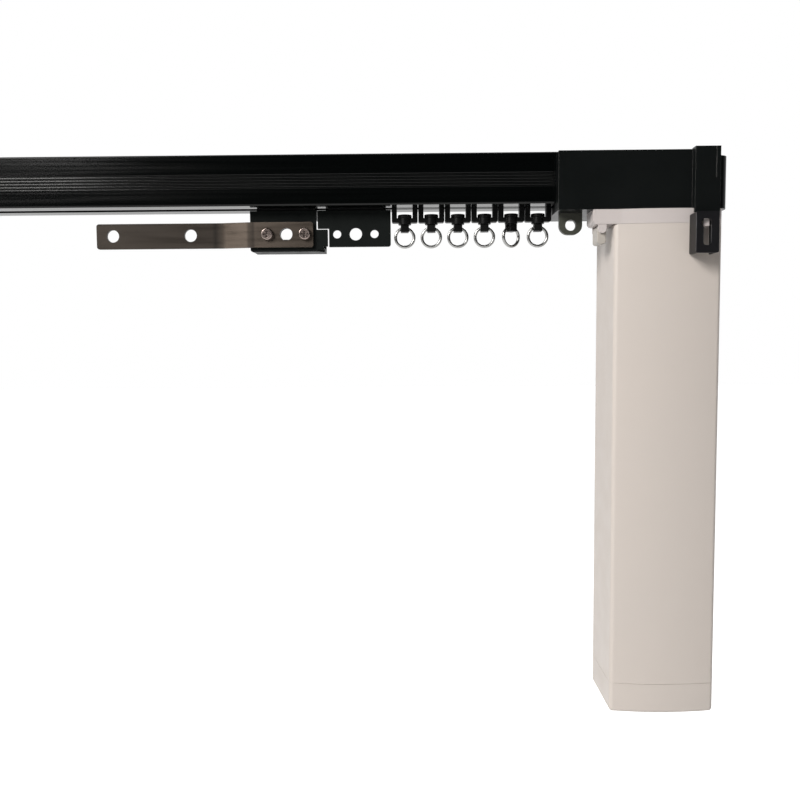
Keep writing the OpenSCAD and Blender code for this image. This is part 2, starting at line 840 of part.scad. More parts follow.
// Carrier truck: block between the belt's runs, neck through the slot, foot below the rail
module carriage(x) {
    color(black_soft)
    difference() {
        union() {
            block(x - truck_len / 2, -truck_t / 2, truck_bottom, truck_len, truck_t, belt_top - truck_bottom);
            block(x - truck_len / 2, -neck_t / 2, foot_top - eps, truck_len, neck_t,
                truck_bottom - foot_top + 2 * eps);
            block(x - foot_len / 2, foot_y0, foot_bottom, foot_len, foot_d, foot_top - foot_bottom);
        }
        for (s = [-1, 1])
            rod_y(x + s * wheel_base / 2, axle_z, -neck_t, neck_t, axle_r + run_clear);
    }
}

// Two wheels on one axle
module wheel_pair(x) {
    color(warm_grey) {
        rod_y(x, axle_z, -wheel_y0 - wheel_w, wheel_y0 + wheel_w, axle_r);
        for (s = [-1, 1])
            difference() {
                rod_y(x, axle_z, s > 0 ? wheel_y0 : -wheel_y0 - wheel_w,
                    s > 0 ? wheel_y0 + wheel_w : -wheel_y0, wheel_r);
                rod_y(x, axle_z, s * (wheel_y0 + wheel_w) - 0.6, s * (wheel_y0 + wheel_w) + 0.6,
                    wheel_r - 0.9);
            }
    }
}

// Clip that hooks over the belt's front run
module belt_clamp(x) {
    y_in = -truck_t / 2;
    y_out = -pitch_r - belt_t / 2 - 0.34 - clip_t;
    bridge_top = belt_top + 0.4 + clip_bridge_t;
    color(slate) {
        block(x - clip_len / 2, y_in - clip_t, belt_top - clip_drop, clip_len, clip_t,
            bridge_top - belt_top + clip_drop);
        block(x - clip_len / 2, y_out, bridge_top - clip_bridge_t, clip_len, y_in - y_out, clip_bridge_t);
        block(x - clip_len / 2, y_out, belt_top - clip_drop, clip_len, clip_t,
            bridge_top - belt_top + clip_drop);
    }
}

// Front plate of a hanger with its three holes
module hanger_plate(x, shift, bottom, side_r) {
    difference() {
        translate([x - shift, 0, 0])
            plate_xz(foot_y0 - plate_t, plate_t) round_foot(hanger_w, hanger_top, bottom, hanger_round);
        rod_y(x, hanger_hole_z, foot_y0 - plate_t - 1, foot_y0 + 1, hanger_mid_r);
        for (s = [-1, 1])
            rod_y(x + s * hanger_pitch / 2, hanger_hole_z, foot_y0 - plate_t - 1, foot_y0 + 1, side_r);
    }
}

// Leading hanger: plate with a shelf to the back and an upstand behind
module hanger_a() {
    x0 = carrier_a_x - hanger_w / 2;
    color(black_gloss) {
        difference() {
            union() {
                hanger_plate(carrier_a_x, 0, hanger_a_bottom, arm_screw_r);
                block(x0 + hanger_w - tongue_a[0], foot_y0 - plate_t, hanger_top - notch_a[1] - tongue_a[1],
                    2 * tongue_a[0], plate_t, tongue_a[1]);
                block(x0 + hanger_round, foot_y0 - plate_t, hanger_a_bottom,
                    hanger_w - 2 * hanger_round + shelf_tail,
                    shelf_d, plate_t);
                block(x0 + hanger_round, foot_y0 - plate_t + shelf_d - plate_t, hanger_a_bottom,
                    hanger_w - 2 * hanger_round + shelf_tail, plate_t, shelf_rear_h);
            }
            block(x0 + hanger_w - notch_a[0], foot_y0 - plate_t - 1, hanger_top - notch_a[1], notch_a[0] + 1,
                plate_t + 2, notch_a[1] + 1);
            translate([x0 + hanger_w, foot_y0 - plate_t, hanger_a_bottom - 1])
                rotate(45) cube([2 * shelf_tail, 2 * shelf_tail, 2 * plate_t], center = true);
        }
    }
}

module hanger_b() {
    x0 = carrier_b_x - hanger_shift - hanger_w / 2;
    color(black_gloss)
    difference() {
        hanger_plate(carrier_b_x, hanger_shift, hanger_b_bottom, hanger_hole_r);
        block(x0 - 1, foot_y0 - plate_t - 1, hanger_b_bottom - 1, notch_b[0] + 1, plate_t + 2,
            notch_b[1] + 1);
    }
}

// Flat steel arm with a joggle; its free end reaches past the middle of a pair of curtains
module overlap_arm() {
    y_back = foot_y0 - plate_t;
    x0 = arm_x1 - arm_len;
    bend_x0 = arm_bend_x1 - arm_bend_len;
    color(plated)
    difference() {
        intersection() {
            translate([0, 0, arm_top - arm_h - 1])
                linear_extrude(arm_h + 2)
                    polygon([
                        [arm_x1, y_back], [arm_bend_x1, y_back], [bend_x0, y_back + arm_joggle], [x0,
                            y_back + arm_joggle],
                        [x0, y_back + arm_joggle - plate_t], [bend_x0, y_back + arm_joggle - plate_t],
                        [arm_bend_x1, y_back - plate_t], [arm_x1, y_back - plate_t]
                    ]);
            plate_xz(y_back - 2 * plate_t, arm_joggle + 3 * plate_t)
                round_bar(x0, arm_x1, arm_top - arm_h, arm_top, hanger_round);
        }
        for (x = [x0 + arm_hole_inset, x0 + arm_hole_inset + arm_hole_pitch])
            rod_y(x, hanger_hole_z, y_back, y_back + arm_joggle + plate_t, arm_hole_r);
        rod_y(carrier_a_x, hanger_hole_z, y_back - 2 * plate_t, y_back + 1, hanger_mid_r);
        for (s = [-1, 1])
            rod_y(carrier_a_x + s * hanger_pitch / 2, hanger_hole_z, y_back - 2 * plate_t, y_back + 1,
                arm_screw_r);
    }
}

// Two pan-head cross screws that hold the arm on the leading hanger
module arm_screws() {
    y_front = foot_y0 - 2 * plate_t;
    color(steel)
    for (s = [-1, 1])
        translate([carrier_a_x + s * hanger_pitch / 2, 0, hanger_hole_z]) {
            difference() {
                rod_y(0, 0, y_front - arm_head_h, y_front, arm_head_r);
                block(-cross_len / 2, y_front - arm_head_h - 1, -cross_w / 2, cross_len, cross_d + 1,
                    cross_w);
                block(-cross_w / 2, y_front - arm_head_h - 1, -cross_len / 2, cross_w, cross_d + 1,
                    cross_len);
            }
            rod_y(0, 0, y_front - eps, foot_y0 + 0.6, arm_screw_r);
        }
}

// Flat glider frame: axle eye inside the rail, window and swivel boss below it
module glider_frame(i) {
    x = glider_x(i);
    color(black_soft)
    difference() {
        union() {
            translate([x, 0, 0])
                plate_xz(-glider_t / 2, glider_t) round_foot(glider_w, -rail_h, bar_top - bar_h, 1);
            block(x - glider_w / 2 + 1, -glider_t / 2, -rail_h - eps, glider_w - 2, glider_t,
                glider_top + rail_h);
            rod_z(x, 0, boss_bottom, bar_top, boss_r);
        }
        block(x - window_w / 2, -glider_t, bar_top, window_w, 2 * glider_t, window_h);
        rod_z(x, 0, boss_bottom - 1, bar_top + 1, swivel_r + run_clear);
        rod_y(x, axle_z, -glider_t, glider_t, axle_r + run_clear);
    }
}

// Swivel: head above the bar, shank through the boss, eye below it
module swivel(i) {
    color(slate)
    translate([glider_x(i), 0, 0])
    rotate(swivel_turn[i - 1])
    difference() {
        union() {
            rod_z(0, 0, bar_top + swivel_gap, bar_top + swivel_gap + swivel_head_h, swivel_head_r);
            rod_z(0, 0, boss_bottom - swivel_gap - eps, bar_top + swivel_gap + eps, swivel_r);
            block(-neck_w / 2, -neck_d / 2, boss_bottom - swivel_gap - neck_h, neck_w, neck_d, neck_h);
        }
        translate([-neck_w, 0, ring_hole_z]) rotate([0, 90, 0]) cylinder(r = ring_hole_r, h = 2 * neck_w);
    }
}

// Wire ring through the swivel's eye
module ring(i) {
    color(steel)
    translate([glider_x(i), 0, ring_hole_z - ring_r])
    rotate(swivel_turn[i - 1])
    rotate([90, 0, 0])
    rotate_extrude() translate([ring_r, 0]) circle(ring_wire_r);
}

rail();
toothed_belt();
drive_housing();
drive_lid();
spindle_bushes();
housing_screws();
end_eye();
idler_housing();
idler_lid();
idler_pin();
idler_pulley();
drive_pulley();
output_shaft();
motor_head();
motor_case();
motor_base();
base_screws();
gearbox();
dc_motor();
control_board();
power_socket();
set_button();
lock_tab();
release_lever();
carriage(carrier_a_x);  // carriage_a
belt_clamp(carrier_a_x);  // belt_clamp_a
wheel_pair(carrier_a_x - wheel_base / 2);  // wheels_a1
wheel_pair(carrier_a_x + wheel_base / 2);  // wheels_a2
hanger_a();
overlap_arm();
arm_screws();
carriage(carrier_b_x);  // carriage_b
belt_clamp(carrier_b_x);  // belt_clamp_b
wheel_pair(carrier_b_x - wheel_base / 2);  // wheels_b1
wheel_pair(carrier_b_x + wheel_base / 2);  // wheels_b2
hanger_b();
for (i = [1 : glider_n]) {
    glider_frame(i);
    wheel_pair(glider_x(i));
    swivel(i);
    ring(i);
}
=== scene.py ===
import json
import math

import bmesh
import bpy
from mathutils import Matrix, Vector

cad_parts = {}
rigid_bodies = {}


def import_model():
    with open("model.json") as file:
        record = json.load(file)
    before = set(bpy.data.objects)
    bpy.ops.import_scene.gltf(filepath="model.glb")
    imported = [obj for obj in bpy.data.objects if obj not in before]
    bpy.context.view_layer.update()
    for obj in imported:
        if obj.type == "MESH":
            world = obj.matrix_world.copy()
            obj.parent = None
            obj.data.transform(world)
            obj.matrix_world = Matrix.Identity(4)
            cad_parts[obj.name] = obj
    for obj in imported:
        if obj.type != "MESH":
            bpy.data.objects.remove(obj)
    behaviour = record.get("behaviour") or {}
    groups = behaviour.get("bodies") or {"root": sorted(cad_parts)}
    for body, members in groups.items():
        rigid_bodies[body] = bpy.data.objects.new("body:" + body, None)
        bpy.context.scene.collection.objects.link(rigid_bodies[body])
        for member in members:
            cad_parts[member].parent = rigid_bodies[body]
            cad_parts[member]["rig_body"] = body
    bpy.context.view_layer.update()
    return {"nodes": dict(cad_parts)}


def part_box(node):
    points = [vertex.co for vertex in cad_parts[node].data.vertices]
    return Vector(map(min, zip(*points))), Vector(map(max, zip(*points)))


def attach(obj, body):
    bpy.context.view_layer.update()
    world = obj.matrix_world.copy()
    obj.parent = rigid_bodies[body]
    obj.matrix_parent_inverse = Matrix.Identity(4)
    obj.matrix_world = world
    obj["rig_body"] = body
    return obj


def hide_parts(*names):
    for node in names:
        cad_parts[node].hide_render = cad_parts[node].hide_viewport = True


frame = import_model()
scene = bpy.context.scene
scene.view_settings.view_transform = "Standard"

# Camera and studio
# The track is seen from the front, from below its rail and above the motor's foot, through a short lens.
# It hangs in the air before a white backdrop, over a pale floor, in soft light from the front left.
CAMERA_PLACE = (0.1074, -0.4456, -0.1011)
CAMERA_TURN = math.radians(0.684)
CAMERA_TILT = math.radians(4.028)
CAMERA_ROLL = math.radians(-0.416)
CAMERA_LENS = 35.96
CAMERA_SENSOR = 36.0
CAMERA_NEAR = 0.01

camera_data = bpy.data.cameras.new("camera")
camera_data.lens = CAMERA_LENS
camera_data.sensor_width = CAMERA_SENSOR
camera_data.sensor_fit = "HORIZONTAL"
camera_data.clip_start = CAMERA_NEAR
camera = bpy.data.objects.new("camera", camera_data)
scene.collection.objects.link(camera)
camera.matrix_world = (
    Matrix.Translation(CAMERA_PLACE)
    @ Matrix.Rotation(CAMERA_TURN, 4, "Z")
    @ Matrix.Rotation(math.pi / 2 - CAMERA_TILT, 4, "X")
    @ Matrix.Rotation(CAMERA_ROLL, 4, "Z")
)
scene.camera = camera

WHITE = (1.0, 1.0, 1.0)
# The room's brightness by how far to the back a ray points, as light and as seen in a reflection.
ROOM_SPAN = (-0.55, 0.25)
ROOM_FRONT = 0.2
ROOM_BACK = 0.23
MIRROR_SPAN = (-0.3, 0.1)
MIRROR_FRONT = 0.02
MIRROR_BACK = 1.0


def calculate(tree, operation, *values):
    """A Math node on sockets and plain numbers."""
    node = tree.nodes.new("ShaderNodeMath")
    node.operation = operation
    for socket, value in zip(node.inputs, values):
        if isinstance(value, float):
            socket.default_value = value
        else:
            tree.links.new(value, socket)
    return node.outputs[0]


def rescale(tree, value, span, low, high):
    """A Map Range node that turns a span of the value into the range from low to high."""
    node = tree.nodes.new("ShaderNodeMapRange")
    node.inputs["From Min"].default_value = span[0]
    node.inputs["From Max"].default_value = span[1]
    node.inputs["To Min"].default_value = low
    node.inputs["To Max"].default_value = high
    tree.links.new(value, node.inputs["Value"])
    return node.outputs[0]


def mirrored(tree, seen):
    """1 for a ray that reaches the studio in a mirror or through glass."""
    return calculate(tree, "MAXIMUM", seen["Is Glossy Ray"], seen["Is Transmission Ray"])


def studio_world():
    """A white backdrop for the camera and for reflections; the room on the camera's side is dimmer."""
    world = bpy.data.worlds.new("studio")
    world.use_nodes = True
    tree = world.node_tree
    tree.nodes.clear()
    direction = tree.nodes.new("ShaderNodeTexCoord")
    split = tree.nodes.new("ShaderNodeSeparateXYZ")
    tree.links.new(direction.outputs["Generated"], split.inputs[0])
    depth = split.outputs["Y"]
    seen = tree.nodes.new("ShaderNodeLightPath").outputs
    lit = tree.nodes.new("ShaderNodeMix")
    lit.data_type = "FLOAT"
    tree.links.new(mirrored(tree, seen), lit.inputs["Factor"])
    tree.links.new(rescale(tree, depth, ROOM_SPAN, ROOM_FRONT, ROOM_BACK), lit.inputs["A"])
    tree.links.new(rescale(tree, depth, MIRROR_SPAN, MIRROR_FRONT, MIRROR_BACK), lit.inputs["B"])
    strength = calculate(tree, "MAXIMUM", lit.outputs["Result"], seen["Is Camera Ray"])
    background = tree.nodes.new("ShaderNodeBackground")
    background.inputs["Color"].default_value = (*WHITE, 1.0)
    tree.links.new(strength, background.inputs["Strength"])
    output = tree.nodes.new("ShaderNodeOutputWorld")
    tree.links.new(background.outputs[0], output.inputs["Surface"])
    scene.world = world


studio_world()

KEY_TINT = (1.0, 0.985, 0.96)
FILL_TINT = (1.0, 0.97, 0.95)


def soft_lamp(name, place, aim, size, power, tint):
    """A square lamp with a soft edge to its shadows, turned towards its aim."""
    data = bpy.data.lights.new(name, "AREA")
    data.size = size
    data.energy = power
    data.color = tint
    lamp = bpy.data.objects.new(name, data)
    scene.collection.objects.link(lamp)
    lamp.location = place
    lamp.rotation_euler = (Vector(aim) - Vector(place)).to_track_quat("-Z", "Y").to_euler()


soft_lamp("key", place=(-0.94, -1.3, 0.8), aim=(0.15, 0.0, -0.12), size=0.76, power=39.3, tint=KEY_TINT)
soft_lamp("fill", place=(0.75, -1.0, -1.25), aim=(0.2, 0.0, -0.15), size=1.2, power=6.0, tint=FILL_TINT)
soft_lamp("rim", place=(0.6, 0.9, 0.7), aim=(0.1, 0.0, -0.1), size=0.8, power=8.0, tint=WHITE)

FLOOR_DROP = -0.62
FLOOR_SIZE = 9.0
FLOOR_PALE = (0.72, 0.72, 0.71)
FLOOR_ROUGHNESS = 0.7
FLOOR_GLOW = 0.86

floor_mesh = bpy.data.meshes.new("floor")
bm = bmesh.new()
bmesh.ops.create_grid(bm, x_segments=1, y_segments=1, size=FLOOR_SIZE)
bmesh.ops.translate(bm, verts=bm.verts, vec=(0.0, 0.0, FLOOR_DROP))
bm.to_mesh(floor_mesh)
bm.free()
floor = bpy.data.objects.new("floor", floor_mesh)
scene.collection.objects.link(floor)
floor_paint = bpy.data.materials.new("pale_floor")
floor_paint.use_nodes = True
floor_tree = floor_paint.node_tree
floor_seen = floor_tree.nodes.new("ShaderNodeLightPath").outputs
in_view = calculate(floor_tree, "MAXIMUM", floor_seen["Is Camera Ray"], mirrored(floor_tree, floor_seen))
floor_glow = calculate(floor_tree, "MULTIPLY", in_view, FLOOR_GLOW)
floor_shader = floor_tree.nodes["Principled BSDF"].inputs
floor_shader["Base Color"].default_value = (*FLOOR_PALE, 1.0)
floor_shader["Roughness"].default_value = FLOOR_ROUGHNESS
floor_shader["Emission Color"].default_value = (*WHITE, 1.0)
floor_tree.links.new(floor_glow, floor_shader["Emission Strength"])
floor_mesh.materials.append(floor_paint)

# Rail
# One aluminium extrusion with a ceiling channel on top and a slot below, and fine ribs along both faces.
# It is sawn to length, anodised black, and its ends are pushed into the sockets of the two end boxes.
MM = 0.001
NOISE_SPAN = (0.3, 0.7)
BUMP_STRENGTH = 0.6


class Finish:
    """A procedural material under construction, with its shader and its object coordinates."""

    def __init__(self, name, colour, roughness, metallic=0.0, specular=0.5):
        self.material = bpy.data.materials.new(name)
        self.material.use_nodes = True
        self.tree = self.material.node_tree
        self.colour = colour
        self.shader = self.tree.nodes["Principled BSDF"].inputs
        self.shader["Base Color"].default_value = (*colour, 1.0)
        self.shader["Roughness"].default_value = roughness
        self.shader["Metallic"].default_value = metallic
        self.shader["Specular IOR Level"].default_value = specular
        self.place = self.tree.nodes.new("ShaderNodeTexCoord").outputs["Object"]

    def noise(self, scale, detail=3.0, stretch=(1.0, 1.0, 1.0)):
        """Noise that is drawn out along an axis where stretch is small."""
        mapping = self.tree.nodes.new("ShaderNodeMapping")
        mapping.inputs["Scale"].default_value = stretch
        self.tree.links.new(self.place, mapping.inputs["Vector"])
        texture = self.tree.nodes.new("ShaderNodeTexNoise")
        texture.inputs["Scale"].default_value = scale
        texture.inputs["Detail"].default_value = detail
        self.tree.links.new(mapping.outputs[0], texture.inputs["Vector"])
        return texture.outputs["Fac"]

    def vary_colour(self, value, other, amount):
        """Mixes another colour into the finish's own one and returns the mix."""
        mix = self.tree.nodes.new("ShaderNodeMix")
        mix.data_type = "RGBA"
        mix.inputs["A"].default_value = (*self.colour, 1.0)
        mix.inputs["B"].default_value = (*other, 1.0)
        self.tree.links.new(rescale(self.tree, value, NOISE_SPAN, 0.0, amount), mix.inputs["Factor"])
        self.tree.links.new(mix.outputs["Result"], self.shader["Base Color"])
        return mix.outputs["Result"]

    def toned(self, colour, factor):
        """The colour made darker or lighter by a factor."""
        scale = self.tree.nodes.new("ShaderNodeVectorMath")
        scale.operation = "SCALE"
        self.tree.links.new(colour, scale.inputs[0])
        self.tree.links.new(factor, scale.inputs["Scale"])
        return scale.outputs[0]

    def vary_roughness(self, value, low, high):
        self.tree.links.new(rescale(self.tree, value, NOISE_SPAN, low, high), self.shader["Roughness"])

    def bump(self, value, depth):
        node = self.tree.nodes.new("ShaderNodeBump")
        node.inputs["Strength"].default_value = BUMP_STRENGTH
        node.inputs["Distance"].default_value = depth
        self.tree.links.new(value, node.inputs["Height"])
        self.tree.links.new(node.outputs[0], self.shader["Normal"])


SAME_POINT = 0.002 * MM
FLAT_ANGLE = math.radians(0.2)
SOFT_SEGMENTS = 6
TALL_EDGE = 4.0 * MM


def height(face):
    """How far a face reaches from its lowest to its highest corner."""
    levels = [v.co.z for v in face.verts]
    return max(levels) - min(levels)


def upright(face):
    """True for the rounding of a tall upright edge."""
    return height(face) > TALL_EDGE


def dress(
    node,
    material,
    radius=0.2 * MM,
    segments=2,
    corner=32.0,
    soft=None,
    soft_radius=0.0,
    shape=None,
    painted_highlight=None,
    gets_painted_highlight=upright,
):
    """A softened copy of a CAD node: its triangles are merged to flat faces, its edges get a small radius.

    An edge counts where its faces meet at more than the corner angle. A piece may be shaped further first,
    the edges that soft picks out get a larger radius, and the roundings that the last test picks out may
    take a lighter second finish of their own, a painted highlight along those edges."""
    source = frame["nodes"][node]
    mesh = bpy.data.meshes.new(node + "_shape")
    mesh.materials.append(material)
    if painted_highlight:
        mesh.materials.append(painted_highlight)
    bm = bmesh.new()
    bm.from_mesh(source.data)
    bmesh.ops.remove_doubles(bm, verts=bm.verts, dist=SAME_POINT)
    bmesh.ops.dissolve_limit(bm, angle_limit=FLAT_ANGLE, verts=bm.verts, edges=bm.edges)

    def round_off(size, steps, chosen=None):
        sharp = [e for e in bm.edges if e.is_manifold and e.calc_face_angle(0.0) > math.radians(corner)]
        made = bmesh.ops.bevel(
            bm,
            geom=[e for e in sharp if chosen is None or chosen(e)],
            offset=size,
            offset_type="OFFSET",
            affect="EDGES",
            segments=steps,
            profile=0.5,
            material=-1,
            clamp_overlap=True,
        )
        return made["faces"]

    if shape:
        shape(bm)
    if soft:
        round_off(soft_radius, SOFT_SEGMENTS, soft)
    rims = round_off(radius, segments)
    # The picked roundings take the lighter second finish: a painted highlight along those edges.
    if painted_highlight:
        for face in rims:
            face.material_index = int(gets_painted_highlight(face))
    for face in bm.faces:
        face.smooth = True
    bm.to_mesh(mesh)
    bm.free()
    piece = bpy.data.objects.new(mesh.name, mesh)
    scene.collection.objects.link(piece)
    shading = piece.modifiers.new("flat faces", "WEIGHTED_NORMAL")
    shading.keep_sharp = True
    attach(piece, source["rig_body"])
    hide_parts(node)
    return piece


def paint(node, material):
    """Gives a CAD node that stays as it is a better finish."""
    mesh = frame["nodes"][node].data
    mesh.materials.clear()
    mesh.materials.append(material)


def anodised(name, colour):
    """A smooth black oxide skin over faint marks that run along the rail."""
    skin = Finish(name, colour, roughness=0.14, specular=0.2)
    drawn = skin.noise(scale=900.0, detail=2.0, stretch=(0.012, 1.0, 1.0))
    skin.vary_roughness(drawn, low=0.11, high=0.19)
    skin.bump(drawn, depth=0.003 * MM)
    return skin.material


rail_low, rail_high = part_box("rail")
RIBS_FROM = 10.4 * MM
RIBS_TO = 18.4 * MM
RIB_DEPTH = 0.6 * MM


def on_rib(face):
    """True for the edges of the fine ribs along the rail's front and back."""
    place = face.calc_center_median()
    outside = min(place.y - rail_low.y, rail_high.y - place.y) < RIB_DEPTH
    return outside and RIBS_FROM < rail_high.z - place.z < RIBS_TO


rail_black = anodised("black_anodised", (0.001, 0.0014, 0.0014))
# The rib edges take a lighter black than the rail: a painted highlight along the fine ribs.
rib_painted_highlight = anodised("rib_painted_highlight", (0.011, 0.0112, 0.011))
rail = dress("rail", rail_black, radius=0.16 * MM, painted_highlight=rib_painted_highlight, gets_painted_highlight=on_rib)

# End boxes
# Moulded black boxes over both rail ends: the drive box above the motor and the idler box at the far end.
# Each is closed by a flush lid with four countersunk screws; the drive box carries the lock's upper band.
CLOUD_LIGHTER = 1.25


def moulded_black(name, colour, roughness):
    """Black plastic with a faint cloudiness and the fine grain of its mould."""
    plastic = Finish(name, colour, roughness, specular=0.12)
    lighter = tuple(c * CLOUD_LIGHTER for c in colour)
    plastic.vary_colour(plastic.noise(scale=26.0, detail=1.0), lighter, amount=0.8)
    patches = plastic.noise(scale=60.0, detail=2.0)
    plastic.vary_roughness(patches, low=roughness - 0.03, high=roughness + 0.04)
    plastic.bump(plastic.noise(scale=1800.0, detail=1.0), depth=0.004 * MM)
    return plastic.material


box_black = moulded_black("box_black", (0.0041, 0.0049, 0.0049), roughness=0.3)
# The tall upright edges of both boxes take a light grey: a painted highlight along those corners.
box_corner = moulded_black("box_corner", (0.16, 0.16, 0.155), roughness=0.3)
for node in ("drive_housing", "idler_housing"):
    dress(node, box_black, radius=0.45 * MM, segments=3, painted_highlight=box_corner)
for node in ("drive_lid", "idler_lid"):
    dress(node, box_black, radius=0.15 * MM)


def zinc_steel():
    """Bright zinc on steel, for screws and turned pieces."""
    zinc = Finish("screw_steel", (0.27, 0.222, 0.203), roughness=0.24, metallic=1.0)
    zinc.vary_roughness(zinc.noise(scale=300.0, detail=2.0), low=0.24, high=0.34)
    return zinc.material


steel = zinc_steel()
dress("housing_screws", steel, radius=0.08 * MM)


def eye_nylon():
    """Dark grey nylon with a matt grain."""
    nylon_grey = Finish("eye_plastic", (0.044, 0.0455, 0.036), roughness=0.45, specular=0.3)
    nylon_grey.vary_colour(nylon_grey.noise(scale=120.0), (0.053, 0.0545, 0.0445), amount=0.8)
    nylon_grey.bump(nylon_grey.noise(scale=2600.0, detail=2.0), depth=0.015 * MM)
    return nylon_grey.material


dress("end_eye", eye_nylon(), radius=0.35 * MM, segments=3)

# Belt, pulleys and the drive's inner pieces
# A closed toothed belt runs in the rail's chamber round two nylon pulleys; the motor's parts sit in its tube.
# They hardly show from outside, so they keep their plain solids with the finish of the real ones.
PATCH_SCALE = 180.0
PATCH_DARKER = 0.86
SHEEN_SCALE = 900.0
GRAIN_SCALE = 1800.0


def plain_finish(name, colour, roughness, metallic=0.0):
    """A lightly grained finish with slightly darker patches."""
    plain = Finish(name, colour, roughness, metallic)
    darker = tuple(c * PATCH_DARKER for c in colour)
    plain.vary_colour(plain.noise(scale=PATCH_SCALE, detail=2.0), darker, amount=0.8)
    plain.vary_roughness(plain.noise(scale=SHEEN_SCALE), low=roughness - 0.06, high=roughness + 0.08)
    plain.bump(plain.noise(scale=GRAIN_SCALE, detail=2.0), depth=0.01 * MM)
    return plain.material


pulley_nylon = plain_finish("pulley_nylon", (0.74, 0.72, 0.66), roughness=0.45)
paint("toothed_belt", plain_finish("belt_rubber", (0.018, 0.018, 0.018), roughness=0.72))
paint("drive_pulley", pulley_nylon)
paint("idler_pulley", pulley_nylon)
paint("spindle_bushes", plain_finish("bush_brass", (0.62, 0.45, 0.2), roughness=0.32, metallic=1.0))
paint("control_board", plain_finish("board_green", (0.03, 0.16, 0.07), roughness=0.4))
for node in ("output_shaft", "idler_pin", "gearbox", "dc_motor"):
    paint(node, steel)

# Motor
# A long crowned tube, a head that clips to the drive box and a base cap, all in warm light grey satin paint.
# The head has a ledge to the left with a press lever below it; the base carries the inlet and a set button.


def satin_paint(name, colour, other):
    """Satin paint with a faint change of tone and a very fine orange peel."""
    satin = Finish(name, colour, roughness=0.42, specular=0.4)
    satin.vary_colour(satin.noise(scale=14.0, detail=2.0), other, amount=0.9)
    satin.vary_roughness(satin.noise(scale=90.0), low=0.36, high=0.48)
    satin.bump(satin.noise(scale=3200.0, detail=2.0), depth=0.012 * MM)
    return satin.material


FOOT_ROUND = 2.0 * MM
FOOT_STEPS = 6
FOOT_LEVEL = 0.01 * MM
STEEP = 0.5
WALL_SHARE = 0.97
OUTER_SHARE = 0.45
PLACES = 6


def round_foot(bm):
    """Rounds the base cap's outer edge at its foot, by drawing the wall in more towards the bottom."""
    low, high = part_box("motor_base")
    middle = (low + high) / 2
    cap_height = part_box("motor_case")[0].z - low.z
    outer = (high.y - low.y) * OUTER_SHARE

    def spot(v):
        return tuple(round(c, PLACES) for c in v.co.xy)

    bm.normal_update()
    inward = {}
    for face in bm.faces:
        reach = face.normal.dot(face.calc_center_median() - middle)
        if abs(face.normal.z) >= STEEP or height(face) <= WALL_SHARE * cap_height or reach <= outer:
            continue
        for v in face.verts:
            if v.co.z < low.z + FOOT_LEVEL:
                inward[v] = inward.get(v, Vector()) - face.normal
    rim = {spot(v): normal.normalized() for v, normal in inward.items()}
    for step in range(1, FOOT_STEPS + 1):
        lift = FOOT_ROUND * (1 - math.cos(math.pi / 2 * step / FOOT_STEPS))
        bmesh.ops.bisect_plane(
            bm,
            geom=bm.verts[:] + bm.edges[:] + bm.faces[:],
            plane_co=(0.0, 0.0, low.z + lift),
            plane_no=(0.0, 0.0, 1.0),
        )
    for v in bm.verts:
        gap = FOOT_ROUND - (v.co.z - low.z)
        direction = rim.get(spot(v))
        if direction and gap > 0:
            v.co += direction * (FOOT_ROUND - math.sqrt(max(0.0, FOOT_ROUND ** 2 - gap ** 2)))


motor_paint = satin_paint("motor_paint", (0.6, 0.54, 0.498), (0.587, 0.532, 0.494))
head_paint = satin_paint("head_paint", (0.562, 0.51, 0.496), (0.55, 0.502, 0.49))
dress("motor_case", motor_paint, radius=0.3 * MM, corner=50.0)
dress("motor_head", head_paint, radius=0.5 * MM, segments=3, corner=50.0)
base = dress("motor_base", motor_paint, radius=0.3 * MM, corner=50.0, shape=round_foot)
dress("base_screws", steel, radius=0.08 * MM)
soft_black = moulded_black("soft_black", (0.0032, 0.0032, 0.0034), roughness=0.38)
dress("power_socket", soft_black, radius=0.1 * MM)
dress("set_button", soft_black, radius=0.3 * MM)

# Lock and lever
# A slotted slate-grey latch hangs from the band on the drive box and hooks over a catch on the motor's head.
# The press lever under the head's ledge has the head's own light finish, darkened as painted shade from the
# ledge above it.


def slate_plastic():
    """Dark slate plastic with a matt grain."""
    slate = Finish("lock_slate", (0.0045, 0.0044, 0.0054), roughness=0.4, specular=0.24)
    slate.vary_colour(slate.noise(scale=200.0), (0.0063, 0.0062, 0.0073), amount=0.8)
    slate.bump(slate.noise(scale=2600.0, detail=2.0), depth=0.012 * MM)
    return slate.material


KEYHOLE_REACH = 3.4 * MM
KEYHOLE_WIDER = 0.75 * MM
TAB_FRONT = 1.8 * MM


def open_keyhole(bm):
    """Widens the keyhole in the latch's front wall to the left."""
    low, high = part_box("lock_tab")
    middle = (low.x + high.x) / 2
    for v in bm.verts:
        left_side = -KEYHOLE_REACH < v.co.x - middle < 0
        in_front = v.co.y < low.y + TAB_FRONT
        in_hole = low.z + TAB_FRONT < v.co.z < high.z - TAB_FRONT
        if left_side and in_front and in_hole:
            v.co.x -= KEYHOLE_WIDER


slate = slate_plastic()
# The latch's tall upright edges take a lighter grey: a painted highlight along those corners.
slate_corner_highlight = moulded_black("slate_corner_highlight", (0.14, 0.138, 0.145), roughness=0.35)
lock_tab = dress("lock_tab", slate, radius=0.5 * MM, segments=3, painted_highlight=slate_corner_highlight, shape=open_keyhole)
# The lever's darker colour is painted shade from the head's ledge above it.
lever_paint_shaded = satin_paint("lever_paint_shaded", (0.44, 0.405, 0.365), (0.43, 0.395, 0.358))
dress("release_lever", lever_paint_shaded, radius=0.4 * MM, segments=3)

# Carriers
# Two trucks run on nylon wheels in the rail, clipped to the belt; steel hangers below them hold the curtain.
# The hangers are stamped plates, painted black; the leading one is folded to a shelf with an upstand behind.


